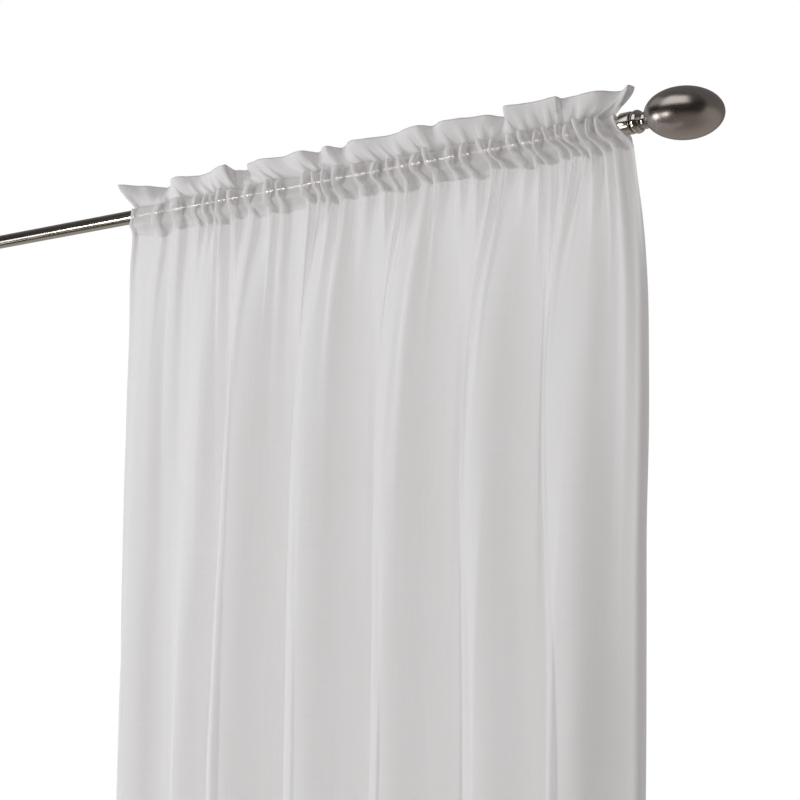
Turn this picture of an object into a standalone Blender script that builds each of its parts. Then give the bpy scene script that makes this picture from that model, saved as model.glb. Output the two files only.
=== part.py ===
"""Sheer voile curtain, gathered by its rod pocket on a metal rod with an oval finial.

Frame: metres, +Z up. X runs along the rod towards the finial and the room is on the -Y side.
The origin lies on the rod's axis, at the middle of the gathered cloth.
"""
import math
from typing import NamedTuple

import bmesh
import bpy
import numpy as np

MM = 0.001

# Cloth: a 50 x 84 inch panel, here as a sheet of one thickness
DROP = 2.134
CLOTH = 1.0 * MM
LAYER_GAP = 1.6 * MM            # between the middles of two layers that are sewn together
HEADER_TOP = 36.0 * MM
STITCH_Z = 11.5 * MM            # sewn line above the rod
SEAM_Z = -25.0 * MM             # sewn line below the rod
HEM = 76.0 * MM
HEM_END_Z = HEADER_TOP - DROP

# Rod and its end fittings
ROD_R = 8.0 * MM
ROD_WALL = 1.0 * MM
ROD_LEFT = -660.0 * MM
ROD_RIGHT = 355.0 * MM
FIT = 0.3 * MM                  # gap between pieces that touch
CAP_R = 9.2 * MM
CAP_FLANGE = 4.0 * MM
CAP_PLUG = 14.0 * MM
SOCKET_LEFT = 346.0 * MM
SOCKET_R = 11.2 * MM
SOCKET_LONG = 12.6 * MM
SOCKET_DEPTH = 9.6 * MM
BEAD_R = 11.7 * MM
BEAD_LONG = 10.0 * MM
NECK_R = 8.6 * MM
NECK_LONG = 8.0 * MM
SPIGOT_R = 5.0 * MM
KNOB_X = 416.3 * MM
KNOB_HALF = (39.6 * MM, 37.1 * MM, 24.9 * MM)
KNOB_FACETS = (36, 22)          # round its upright axis and from top to bottom
SPIGOT_IN = 9.0 * MM            # how far the spigot reaches into the knob
TURN_STEPS = 32
CORNER_POINTS = 4

# How the cloth stands off the rod
EASE = (ROD_R + FIT + CLOTH / 2) / math.cos(math.radians(20))
LIFT_MAX = 18.0 * MM
STITCH_WAVE = 4.0 * MM
SEAM_WAVE = 5.5 * MM
LOOSE_WAVE = 9.0 * MM
CORNER_SPAN = 70.0 * MM         # the header leans sideways only this near to its corners
CORNER_LEAN = (-10.0 * MM, 27.0 * MM)
BACK_SHARE = 0.8                # stand-off of the pocket's back next to that of its front
HEADER_ROWS = (0.0, 0.55, 1.0)  # from the sewn line to the free top edge
COLUMNS_A_PLEAT = 4
CURVE_POINTS_A_TURN = 40


class Pleat(NamedTuple):
    """A gather on the rod, in mm: where its ridge is and how far it stands off."""
    x: float
    lift: float


class Lobe(NamedTuple):
    """A turn of the header's free top edge, in mm."""
    x: float
    y: float


class Fold(NamedTuple):
    """A turn of the hanging cloth in mm, 0.2 m below the rod and from 0.65 m below it."""
    shoulder_x: float
    shoulder_y: float
    low_x: float
    low_y: float


class Bend(NamedTuple):
    """A row of the pocket round the rod: degrees from its top, the share of the gathers'
    stand-off there, and where the cloth's two side edges are, in mm."""
    angle: float
    swell: float
    left: float
    right: float


class Level(NamedTuple):
    """A row of the hanging cloth: its height in mm, how far the gathers have become main folds,
    and where the cloth's two side edges are, in mm."""
    z: float
    folded: float
    left: float
    right: float


PLEATS = (
    Pleat(-335, 8), Pleat(-306, 12), Pleat(-280, 15), Pleat(-258, 11), Pleat(-232, 16),
    Pleat(-209, 12), Pleat(-184, 18), Pleat(-160, 13), Pleat(-135, 16), Pleat(-110, 17),
    Pleat(-66, 14), Pleat(-38, 17), Pleat(-12, 12), Pleat(18, 15), Pleat(46, 18),
    Pleat(78, 13), Pleat(104, 16), Pleat(130, 12), Pleat(158, 17), Pleat(186, 14),
    Pleat(214, 17), Pleat(240, 15), Pleat(266, 18), Pleat(290, 13), Pleat(312, 16),
    Pleat(336, 9),
)

LOBES = (
    Lobe(-340, -16), Lobe(-306, 14), Lobe(-262, -8), Lobe(-230, 5), Lobe(-176, -16),
    Lobe(-158, 16), Lobe(-118, -9), Lobe(-95, -3), Lobe(-66, -11), Lobe(-46, 8),
    Lobe(-30, -9), Lobe(-14, 9), Lobe(14, -12), Lobe(58, -1), Lobe(100, -16),
    Lobe(119, 0), Lobe(134, -15), Lobe(180, -3), Lobe(194, 8), Lobe(226, -17),
    Lobe(250, -15), Lobe(276, -17), Lobe(286, -4), Lobe(304, -13), Lobe(343, 6),
    Lobe(365, -4),
)

FOLDS = (
    Fold(-337, 4, -336, 6), Fold(-308, -14, -310, -20), Fold(-270, 10, -282, 20),
    Fold(-232, -12, -252, -18), Fold(-200, 16, -222, 30), Fold(-160, -28, -180, -40),
    Fold(-108, 28, -119, 42), Fold(-52, -28, -56, -42), Fold(6, 28, -3, 40),
    Fold(63, -28, 52, -42), Fold(122, 28, 115, 42), Fold(183, -28, 183, -42),
    Fold(232, 28, 238, 42), Fold(272, -26, 288, -40), Fold(358, 8, 346, 16),
    Fold(362, 20, 351, 36),
)

POCKET = (
    Bend(35, 0.20, -326, 341), Bend(70, 0.95, -323, 347), Bend(110, 0.90, -326, 346),
)
STITCH = Bend(0, 0.0, -330, 338)
SEAM = Bend(180, 0.0, -335, 359)

PANEL = (
    Level(-50, 0.10, -335, 362), Level(-90, 0.34, -335, 365), Level(-150, 0.66, -336, 366),
    Level(-240, 0.90, -337, 364), Level(-400, 1.0, -337, 357), Level(-650, 1.0, -336, 351),
    Level(-1000, 1.0, -338, 353), Level(-1500, 1.0, -341, 357),
)
SHOULDER_Z = -0.20
LOW_Z = -0.65
HEM_FLARE = 1.03


def smooth(t):
    """Ease from 0 to 1: three t squared less two t cubed, flat at both ends."""
    t = np.clip(t, 0.0, 1.0)
    return t * t * (3.0 - 2.0 * t)


def swing(xs, ys, phase, roundness=0.45, hold=0.0):
    """Plan curve through a row of turns, with one turn for each whole phase.

    Depth follows half a cosine from turn to turn, and stays level for the share `hold` of a phase
    on both sides of a turn. Across, the curve runs fastest at the turns and slowest on the flanks,
    which rounds the folds as hanging cloth rounds them.
    """
    xs, ys = np.asarray(xs, float), np.asarray(ys, float)
    turn = np.clip(phase.astype(int), 0, len(xs) - 2)
    t = phase - turn
    across = t + roundness * np.sin(2 * np.pi * t) / (2 * np.pi)
    deep = 0.5 - 0.5 * np.cos(np.pi * np.clip((t - hold) / (1 - 2 * hold), 0.0, 1.0))
    x = xs[turn] + (xs[turn + 1] - xs[turn]) * across
    y = ys[turn] + (ys[turn + 1] - ys[turn]) * deep
    return x, y


def length_share(x, y):
    """Share of the curve's length that lies before each of its points, from 0 to 1."""
    run = np.concatenate(([0.0], np.cumsum(np.hypot(np.diff(x), np.diff(y)))))
    return run / run[-1]


def fine_curve(turns_x, turns_y):
    """The plan curve through a row of turns, as closely spaced points."""
    last = len(turns_x) - 1
    return swing(turns_x, turns_y, np.linspace(0, last, CURVE_POINTS_A_TURN * last))


def cloth_curve(turns_x, turns_y, share):
    """The plan curve through these turns, read at given shares of its own length."""
    x, y = fine_curve(turns_x, turns_y)
    along = length_share(x, y)
    return np.interp(share, along, x), np.interp(share, along, y)


def pleat_columns():
    """Columns of the sheet: place on the rod, stand-off from it and share of the flat width.

    A pleat has two turns, its ridge and the hollow after it, where the cloth lies on the rod. The
    two columns beside a turn share its depth, so ridges and hollows are flat and never a knife edge.
    """
    ridge_x = np.array([pleat.x for pleat in PLEATS]) * MM
    ridge_lift = np.array([pleat.lift for pleat in PLEATS]) * MM
    turns_x = np.empty(2 * len(PLEATS) - 1)
    turns_lift = np.zeros_like(turns_x)
    turns_x[0::2] = ridge_x
    turns_x[1::2] = (ridge_x[:-1] + ridge_x[1:]) / 2
    turns_lift[0::2] = ridge_lift
    last_turn = len(turns_x) - 1
    half_step = 1.0 / COLUMNS_A_PLEAT
    inner = np.arange(half_step, last_turn, 2 * half_step)
    phase = np.concatenate(([0.0], inner, [last_turn]))
    x, lift = swing(turns_x, turns_lift, phase, hold=half_step)
    return x, lift, length_share(x, lift)


def between(x, row):
    """Stretch a row of places so that it runs from one side edge of the cloth to the other."""
    left, right = row.left * MM, row.right * MM
    return left + (x - x[0]) * (right - left) / (x[-1] - x[0])


def apart(x, y, distance):
    """Move a plan curve sideways, towards +Y for a positive distance, at a right angle to itself."""
    dx, dy = np.gradient(x), np.gradient(y)
    size = np.hypot(dx, dy)
    return x - dy / size * distance, y + dx / size * distance


def header_row(stitch_x, wave, free):
    """A row of the header: on the sewn line for free = 0, along the free top edge for free = 1.

    The cloth stands straight up from the sewn line and leans outwards at its two corners. Its depth
    goes over from the gathers' wave to the lobes of the top edge.
    """
    near_left = smooth(1 - (stitch_x - stitch_x[0]) / CORNER_SPAN)
    near_right = smooth(1 - (stitch_x[-1] - stitch_x) / CORNER_SPAN)
    top_x = stitch_x + CORNER_LEAN[0] * near_left + CORNER_LEAN[1] * near_right
    lobe_x, lobe_y = fine_curve(*np.array(LOBES).T * MM)
    x = stitch_x + (top_x - stitch_x) * free
    y = STITCH_WAVE * wave * (1 - free) + np.interp(top_x, lobe_x, lobe_y) * free
    return x, y, STITCH_Z + (HEADER_TOP - STITCH_Z) * free


def fold_curve(z, share):
    """Plan curve of the main folds at one height: they deepen and drift down to the low row."""
    down = smooth((SHOULDER_Z - z) / (SHOULDER_Z - LOW_Z))
    shoulder_x, shoulder_y, low_x, low_y = np.array(FOLDS).T * MM
    turns_x = shoulder_x + (low_x - shoulder_x) * down
    turns_y = shoulder_y + (low_y - shoulder_y) * down
    x, y = cloth_curve(turns_x, turns_y, share)
    flare = 1.0 + (HEM_FLARE - 1.0) * smooth((LOW_Z - z) / (LOW_Z - HEM_END_Z))
    return x * flare, y * flare


def sheet_rows():
    """All rows of the curtain's one sheet, from the hem's inner edge up the front, over the
    header's top and down behind the rod to the seam."""
    x_rod, lift, share = pleat_columns()
    wave = 1.0 - 2.0 * lift / LIFT_MAX
    rows = []

    def add(x, y, z):
        rows.append(np.column_stack((x, y, np.broadcast_to(z, x.shape))))

    hem_top_z = HEM_END_Z + HEM
    for z in (hem_top_z, HEM_END_Z):
        x, y = fold_curve(z, share)
        back_x, back_y = apart(x, y, LAYER_GAP)
        add(back_x, back_y, z)
    for z in (HEM_END_Z, hem_top_z):
        x, y = fold_curve(z, share)
        add(x, y, z)
    for level in reversed(PANEL):
        x, y = fold_curve(level.z * MM, share)
        x = x_rod + (x - x_rod) * level.folded
        y = LOOSE_WAVE * wave * (1 - level.folded) + y * level.folded
        add(between(x, level), y, level.z * MM)

    # Front of the pocket, from the seam up round the rod
    seam_x = between(x_rod, SEAM)
    add(*apart(seam_x, SEAM_WAVE * wave, -LAYER_GAP / 2), SEAM_Z)
    for bend in reversed(POCKET):
        turn = math.radians(bend.angle)
        reach = EASE + lift * bend.swell
        add(between(x_rod, bend), -reach * math.sin(turn), reach * math.cos(turn))

    # Header: its two layers share the sewn line's wave below and the lobes of the top edge above
    stitch_x = between(x_rod, STITCH)
    header = [header_row(stitch_x, wave, free) for free in HEADER_ROWS]
    for x, y, z in header:
        add(*apart(x, y, -LAYER_GAP / 2), z)
    for x, y, z in reversed(header):
        add(*apart(x, y, LAYER_GAP / 2), z)

    # Back of the pocket: where the front stands off, the back lies on the rod
    back_lift = (LIFT_MAX - lift) * BACK_SHARE
    for bend in POCKET:
        turn = math.radians(bend.angle)
        reach = EASE + back_lift * bend.swell
        add(between(x_rod, bend), reach * math.sin(turn), reach * math.cos(turn))
    add(*apart(seam_x, SEAM_WAVE * wave, LAYER_GAP / 2), SEAM_Z)
    return rows


def material(name, colour, roughness, metallic):
    """A Principled material with the piece's colour, roughness and metallic value."""
    made = bpy.data.materials.new(name)
    made.use_nodes = True
    shader = made.node_tree.nodes["Principled BSDF"]
    shader.inputs["Base Color"].default_value = (*colour, 1.0)
    shader.inputs["Roughness"].default_value = roughness
    shader.inputs["Metallic"].default_value = metallic
    return made


def place(name, mesh, finish, collection):
    """Put a mesh into the scene as one named piece with its own material."""
    piece = bpy.data.objects.new(name, mesh)
    piece.data.materials.append(finish)
    collection.objects.link(piece)
    return piece


def make_curtain(collection):
    """The cloth: one grid of points, made into a sheet by Solidify.

    Each cell is two triangles. They share the diagonal that rises to the right, on the front layer
    and on the layer behind it, so that layers sewn together stay alongside where they twist.
    """
    rows = sheet_rows()
    across = len(rows[0])
    points = np.concatenate(rows)
    bm = bmesh.new()
    grid = [bm.verts.new(point) for point in points.tolist()]
    for row in range(len(rows) - 1):
        rising = rows[row + 1][:, 2].sum() >= rows[row][:, 2].sum()
        for column in range(across - 1):
            here = row * across + column
            a, b, c, d = (grid[i] for i in (here, here + 1, here + across + 1, here + across))
            if rising:
                bm.faces.new((a, b, c))
                bm.faces.new((a, c, d))
            else:
                bm.faces.new((a, b, d))
                bm.faces.new((b, c, d))
    mesh = bpy.data.meshes.new("curtain")
    bm.to_mesh(mesh)
    bm.free()
    mesh.shade_smooth()
    finish = material("white_voile", (0.84, 0.83, 0.82), 0.9, 0.0)
    curtain = place("curtain", mesh, finish, collection)
    sheet = curtain.modifiers.new("sheet", 'SOLIDIFY')
    sheet.thickness = CLOTH
    sheet.offset = 0.0
    return curtain


def arc(centre_r, centre_x, radius, start, end, count=CORNER_POINTS):
    """Points of a round corner in a turned profile, as radius and place along the rod."""
    angles = [math.radians(start + (end - start) * i / (count - 1)) for i in range(count)]
    return [(centre_r + radius * math.cos(a), centre_x + radius * math.sin(a)) for a in angles]


def turned(name, profile, closed, finish, collection):
    """A piece turned round the rod's axis from a profile of radius and place along the rod.

    The profile runs from its right-hand end down its outer side to the left.
    """
    mesh = bpy.data.meshes.new(name)
    edges = [(i, i + 1) for i in range(len(profile) - 1)]
    if closed:
        edges.append((len(profile) - 1, 0))
    mesh.from_pydata([(radius, 0.0, along) for radius, along in profile], edges, [])
    piece = place(name, mesh, finish, collection)
    screw = piece.modifiers.new("turned", 'SCREW')
    screw.axis = 'Z'
    screw.steps = TURN_STEPS
    screw.render_steps = TURN_STEPS
    screw.use_merge_vertices = True
    screw.merge_threshold = 0.00001
    screw.use_smooth_shade = True
    piece.rotation_euler = (0.0, math.pi / 2, 0.0)
    return piece


def make_rod(finish, collection):
    """A plain steel tube, open at both ends, which its cap and its finial close."""
    inner = ROD_R - ROD_WALL
    profile = [(ROD_R, ROD_RIGHT), (ROD_R, ROD_LEFT), (inner, ROD_LEFT), (inner, ROD_RIGHT)]
    turned("rod_tube", profile, True, finish, collection)


def make_end_cap(finish, collection):
    """A plain cap: a flat round flange outside and a plug inside the tube."""
    plug_r = ROD_R - ROD_WALL - FIT
    flange_right = ROD_LEFT - FIT
    flange_left = flange_right - CAP_FLANGE
    corner = 1.0 * MM
    profile = [(0.0, ROD_LEFT + CAP_PLUG), (plug_r, ROD_LEFT + CAP_PLUG), (plug_r, flange_right)]
    profile += arc(CAP_R - corner, flange_right - corner, corner, 90, 0)
    profile += arc(CAP_R - corner, flange_left + corner, corner, 0, -90)
    profile.append((0.0, flange_left))
    turned("end_cap", profile, False, finish, collection)


def make_finial(bright, satin, collection):
    """The finial: a socket on the rod's end, a bead with its neck, and the oval knob."""
    socket_right = SOCKET_LEFT + SOCKET_LONG
    corner = 1.2 * MM
    bore = ROD_R + FIT
    floor = SOCKET_LEFT + SOCKET_DEPTH
    profile = [(0.0, socket_right)]
    profile += arc(SOCKET_R - corner, socket_right - corner, corner, 90, 0)
    profile += arc(SOCKET_R - corner, SOCKET_LEFT + corner, corner, 0, -90)
    profile += [(bore, SOCKET_LEFT), (bore, floor), (0.0, floor)]
    turned("finial_socket", profile, False, bright, collection)

    bead_left = socket_right + FIT
    bead_right = bead_left + BEAD_LONG
    neck_right = bead_right + NECK_LONG
    spigot_right = KNOB_X - KNOB_HALF[0] + SPIGOT_IN
    half_bead = BEAD_LONG / 2
    half_neck = NECK_LONG / 2
    profile = [(0.0, spigot_right), (SPIGOT_R, spigot_right), (SPIGOT_R, neck_right)]
    profile += arc(NECK_R - half_neck, neck_right - half_neck, half_neck, 80, -60, 7)
    profile += arc(BEAD_R - half_bead, bead_right - half_bead, half_bead, 90, -90, 9)
    profile.append((0.0, bead_left))
    turned("finial_neck", profile, False, bright, collection)

    mesh = bpy.data.meshes.new("finial_knob")
    bm = bmesh.new()
    around, down = KNOB_FACETS
    bmesh.ops.create_uvsphere(bm, u_segments=around, v_segments=down, radius=1.0)
    bmesh.ops.scale(bm, vec=KNOB_HALF, verts=bm.verts)
    bmesh.ops.translate(bm, vec=(KNOB_X, 0.0, 0.0), verts=bm.verts)
    bm.to_mesh(mesh)
    bm.free()
    mesh.shade_smooth()
    knob = place("finial_knob", mesh, satin, collection)
    cutters = bpy.data.collections.new("cutters")
    bpy.context.scene.collection.children.link(cutters)
    bore_right = spigot_right + FIT
    bore_left = KNOB_X - KNOB_HALF[0] - SPIGOT_IN
    bore_r = SPIGOT_R + FIT
    profile = [(0.0, bore_right), (bore_r, bore_right), (bore_r, bore_left), (0.0, bore_left)]
    cutter = turned("knob_bore", profile, False, satin, cutters)
    cutter.hide_render = True
    cutter.display_type = 'WIRE'
    cut = knob.modifiers.new("bore", 'BOOLEAN')
    cut.operation = 'DIFFERENCE'
    cut.object = cutter


def main():
    for old in list(bpy.data.objects):
        bpy.data.objects.remove(old, do_unlink=True)
    collection = bpy.data.collections.new("voile_curtain_on_rod")
    bpy.context.scene.collection.children.link(collection)
    bright = material("polished_nickel", (0.62, 0.60, 0.57), 0.15, 1.0)
    satin = material("satin_nickel", (0.44, 0.42, 0.40), 0.32, 1.0)
    make_curtain(collection)
    make_rod(bright, collection)
    make_end_cap(bright, collection)
    make_finial(bright, satin, collection)


main()
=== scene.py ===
# %% [markdown]
# # A sheer voile curtain on its rod
# A rod-pocket panel is one long piece of thin cloth. Its top is folded to the back and sewn along two
# lines, and the rod goes through the pocket between them. Because the cloth is about twice as wide as
# the rod it covers, it bunches up: small gathers round the rod, a ruffled header above it, and below
# it gathers that join into a few deep folds. This lesson builds that cloth as one surface, then the
# metal rod and its oval finial, and finishes both with shaders.
#
# The packed CAD model is the frame. It gives every size and stays untouched, and the pieces made here
# take the place of its plain solids. All sizes are in metres, +Z is up, the rod lies along X and the
# room is on the -Y side.

import math
from typing import NamedTuple

import bmesh
import bpy
import numpy as np
from mathutils import Matrix


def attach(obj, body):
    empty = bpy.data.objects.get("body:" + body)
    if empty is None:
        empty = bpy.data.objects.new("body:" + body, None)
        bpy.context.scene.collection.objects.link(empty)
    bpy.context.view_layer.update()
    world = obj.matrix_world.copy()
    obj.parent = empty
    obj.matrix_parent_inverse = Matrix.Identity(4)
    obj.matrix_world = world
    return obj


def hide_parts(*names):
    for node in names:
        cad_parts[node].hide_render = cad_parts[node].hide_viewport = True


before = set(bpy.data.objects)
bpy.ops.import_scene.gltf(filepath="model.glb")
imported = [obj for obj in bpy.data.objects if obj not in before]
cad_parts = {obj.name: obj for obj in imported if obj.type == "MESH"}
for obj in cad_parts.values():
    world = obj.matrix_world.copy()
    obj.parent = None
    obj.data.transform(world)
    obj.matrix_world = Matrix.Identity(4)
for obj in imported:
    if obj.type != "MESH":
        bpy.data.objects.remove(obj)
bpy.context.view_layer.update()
MM = 0.001

# %% [markdown]
# ## The camera
# The camera comes first, because every shape below is judged through it. It stands lower than the
# rod and to the right of it, turned 38 degrees to the cloth and tilted up 8 degrees. A long lens keeps
# the rod's two ends nearly the same size. A camera looks along its own -Z, so its matrix has the
# picture's right, the picture's up and the reversed view direction as columns.

# %% Camera
CAMERA_AT = (1.43429, -1.71214, -0.56649)
VIEW_RIGHT = (0.78350036, 0.62128949, 0.01124958)
VIEW_UP = (0.08023305, -0.11910003, 0.98963521)
FOCAL_PIXELS = 2123.44
FRAME_PIXELS = 800

back = np.cross(VIEW_RIGHT, VIEW_UP)
camera_data = bpy.data.cameras.new("camera")
camera_data.sensor_width = 36.0
camera_data.lens = 36.0 * FOCAL_PIXELS / FRAME_PIXELS
camera = bpy.data.objects.new("camera", camera_data)
bpy.context.scene.collection.objects.link(camera)
camera.matrix_world = Matrix((
    (VIEW_RIGHT[0], VIEW_UP[0], back[0], CAMERA_AT[0]),
    (VIEW_RIGHT[1], VIEW_UP[1], back[1], CAMERA_AT[1]),
    (VIEW_RIGHT[2], VIEW_UP[2], back[2], CAMERA_AT[2]),
    (0.0, 0.0, 0.0, 1.0),
))
bpy.context.scene.camera = camera
print("lens", round(camera_data.lens, 2), "mm")

# %% [markdown]
# ## Curves from short tables
# Every fold of the cloth is a turn in a plan view: a ridge towards the room or a hollow towards the
# wall. Drawing each point of such a curve by hand would take thousands of numbers. Naming only the
# turns takes a few dozen, and a formula rounds the cloth from one turn to the next. The same few
# helpers serve the gathers, the header and the folds.

# %% Curve helpers
WANDER_RATES = np.array((1.0, 1.73, 2.91, 4.37, 6.83))
WANDER_SIZES = np.array((0.34, 0.26, 0.18, 0.13, 0.09))
WANDER_SHIFTS = np.array((0.3, 1.9, 4.1, 2.6, 5.2))


def smooth(t):
    """Ease from 0 to 1: three t squared less two t cubed, flat at both ends."""
    t = np.clip(t, 0.0, 1.0)
    return t * t * (3.0 - 2.0 * t)


def glide(at, places, values):
    """Cubic through a table: between two rows the value leaves and arrives with the slopes of the
    table there, which are the differences of its neighbours. Outside the table it stays level."""
    places, values = np.asarray(places, float), np.asarray(values, float)
    slopes = np.gradient(values, places)
    at = np.clip(at, places[0], places[-1])
    row = np.clip(np.searchsorted(places, at) - 1, 0, len(places) - 2)
    step = places[row + 1] - places[row]
    t = (at - places[row]) / step
    rise = smooth(t)
    start, end = slopes[row] * step, slopes[row + 1] * step
    bow = t * (1 - t) * ((1 - t) * start - t * end)
    return values[row] + (values[row + 1] - values[row]) * rise + bow


def between(phase, xs, ys, roundness, crisp=0.0):
    """Plan curve through a row of turns, read at `phase`, the number of turns passed. Depth follows
    half a cosine from turn to turn, mixed with a straight line by the share `crisp`. Across, the
    curve is t plus roundness times sin(2 pi t) / (2 pi): fast at the turns and slow on the flanks."""
    turn = np.clip(phase.astype(int), 0, len(xs) - 2)
    t = phase - turn
    bow = np.broadcast_to(roundness, len(xs) - 1)[turn] * np.sin(2 * np.pi * t) / (2 * np.pi)
    x = xs[turn] + (xs[turn + 1] - xs[turn]) * (t + bow)
    eased = crisp * t + (1 - crisp) * (0.5 - 0.5 * np.cos(np.pi * t))
    return x, ys[turn] + (ys[turn + 1] - ys[turn]) * eased


def swing(xs, ys, roundness, share, crisp=0.0, points=64):
    """The same curve read at shares of its own length: its x and y, the phase there and the length."""
    phase = np.linspace(0, len(xs) - 1, points * (len(xs) - 1) + 1)
    x, y = between(phase, xs, ys, roundness, crisp)
    run = np.concatenate(([0.0], np.cumsum(np.hypot(np.diff(x), np.diff(y)))))
    return (*(np.interp(share * run[-1], run, values) for values in (x, y, phase)), run[-1])


def wander(along, seed):
    """Uneven wave between about -1 and 1: five sines whose lengths have no common measure."""
    waves = along[..., None] * WANDER_RATES * 2 * np.pi + WANDER_SHIFTS * seed
    return (WANDER_SIZES * np.sin(waves)).sum(axis=-1)


print("half way of smooth, glide and wander:", smooth(0.5), glide(0.5, (0, 1, 2), (0, 1, 0)),
      round(float(wander(np.array(0.5), 1.0)), 3))

# %% [markdown]
# ## The gathers on the rod
# Each gather is a ridge that stands off the rod. Where two ridges are far apart, the cloth between
# them lies flat on the rod, and the rod's bright line shows through it as a short dash. The table
# names each ridge, its stand-off, how far below the rod its ripple can still be followed, and the
# width of the flat place after it. The whole row's length should come to the panel's flat width, 50
# inches or 1.27 m, because cloth gathers but doesn't shrink. No two gathers lean alike: each takes its
# lean and its bulge from its number times the golden angle, 2.4 radians, which never comes round to
# the same place again.

# %% Gathers
FLAT_WIDTH = 1270 * MM
COLUMNS = 540


class Gather(NamedTuple):
    """A ridge of cloth on the rod, in mm."""
    x: float
    lift: float
    fall: float
    flat: float


GATHERS = (
    Gather(-336, 3, 60, 26), Gather(-292, 6, 80, 1), Gather(-261, 8, 240, 11),
    Gather(-231, 6, 50, 3), Gather(-216, 5, 30, 3), Gather(-206, 5, 30, 3),
    Gather(-195, 9, 240, 1), Gather(-176, 8, 60, 7), Gather(-150, 7, 220, 10),
    Gather(-121, 8, 50, 1), Gather(-106, 7, 260, 24), Gather(-64, 10, 320, 1),
    Gather(-52, 8, 40, 1), Gather(-37, 11, 50, 1), Gather(-20, 9, 200, 5),
    Gather(8, 9, 60, 3), Gather(35, 8, 50, 7), Gather(52, 5, 260, 5),
    Gather(66, 9, 50, 3), Gather(88, 8, 240, 1), Gather(105, 10, 60, 8),
    Gather(131, 7, 40, 8), Gather(152, 8, 60, 9), Gather(174, 8, 340, 1),
    Gather(188, 9, 60, 6), Gather(211, 8, 30, 3), Gather(228, 9, 50, 1),
    Gather(240, 7, 260, 3), Gather(257, 8, 40, 1), Gather(269, 8, 200, 1),
    Gather(281, 8, 25, 1), Gather(293, 11, 50, 1), Gather(306, 8, 40, 1),
    Gather(318, 10, 240, 4), Gather(337, 5, 60, 0),
)
GATHER_ROUND = (1.15, 0.0, 1.15)
GOLDEN = 2.4
BULGE_RATE = 1.7

gathers = np.array(GATHERS)
middles = (gathers[1:, 0] + gathers[:-1, 0]) / 2
half_flats = gathers[:-1, 3] / 2
turns_x = np.column_stack((gathers[:-1, 0], middles - half_flats, middles + half_flats)).ravel()
turns_x = np.append(turns_x, gathers[-1, 0]) * MM
turns_lift = np.zeros_like(turns_x)
turns_lift[0::3] = gathers[:, 1] * MM

share = np.linspace(0.0, 1.0, COLUMNS)
rod_x, lift, phase, rod_length = swing(
    turns_x, turns_lift, np.tile(GATHER_ROUND, len(GATHERS) - 1), share)
ridge_share = np.interp(3 * np.arange(len(GATHERS)), phase, share)
ridges_x, falls = gathers[:, 0] * MM, gathers[:, 2] * MM
even_x = glide(share, ridge_share, ridges_x)
fall = np.maximum(glide(rod_x, ridges_x, falls), falls.min())
turned_by = GOLDEN * np.arange(len(GATHERS))
lean = glide(rod_x, ridges_x, np.sin(turned_by))
bulge = glide(rod_x, ridges_x, np.cos(turned_by * BULGE_RATE))
LIFT_MAX = lift.max()
ripple = 1.0 - 2.0 * lift / LIFT_MAX
print(len(GATHERS), "gathers use", round(rod_length, 3), "m of cloth on", round(rod_x[-1] - rod_x[0], 3),
      "m of rod")

# %% [markdown]
# ## The pocket's rows
# A row of the pocket is a ring of angles round the rod, from the lower sewn line up the room side to
# the upper sewn line. Written as polar coordinates, the stand-off is simply added to the distance
# from the rod's axis. The sewn lines hold both layers together, so near them the ring gives way to
# the wavy line of the stitches. The layer behind the rod uses the same ring mirrored, and it stands
# off where the front one lies on the rod, because the two share the same bunched seams. Nobody
# arranges gathers, so each leans its own way and the sewn lines ride up and down by some millimetres.

# %% Pocket
HEADER_TOP = 36.0 * MM
STITCH_Z = 11.5 * MM
SEAM_Z = -25.0 * MM
STITCH_WAVE = 5.0 * MM
SEAM_WAVE = 6.0 * MM
LAYER_GAP = 1.3 * MM
LEAN = 4.5 * MM
CURL = 4.0 * MM
BULGE = 0.45
BEHIND = 0.8
STITCH_RIDE = 3.4 * MM
SEAM_RIDE = 6.0 * MM
SEWN_SPAN = 30.0
SWELL_FROM, SWELL_TOP, SWELL_FOOT = 12.0, 55.0, 70.0
RIDE_TOP, RIDE_FOOT = 70.0, 80.0

stitch_rise = wander(share * 10, 9.0) * STITCH_RIDE
seam_rise = wander(share * 8, 7.0) * SEAM_RIDE


class Ring(NamedTuple):
    """Round the rod: degrees from its top, distance of the cloth from the rod's axis and the places
    of the cloth's two side edges, in mm."""
    angle: float
    reach: float
    left: float
    right: float


RINGS = (
    Ring(0, 11.5, -330, 338), Ring(24, 9.7, -328, 339), Ring(46, 8.8, -325, 342),
    Ring(90, 8.4, -324, 346), Ring(124, 8.8, -327, 348), Ring(150, 12.4, -331, 352),
    Ring(166, 18.0, -333, 356), Ring(180, 25.0, -335, 359),
)
rings = np.array(RINGS).T


def spread(x, left, right):
    """Stretch a row of places so that it runs from one side edge of the cloth to the other."""
    return left + (x - x[..., :1]) * (right - left) / (x[..., -1:] - x[..., :1])


def apart(x, y, distance):
    """Move each row of a plan sideways at a right angle to itself, towards +Y for a positive one."""
    dx, dy = np.gradient(x, axis=-1), np.gradient(y, axis=-1)
    size = np.hypot(dx, dy)
    return x - dy / size * distance, y + dx / size * distance


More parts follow.
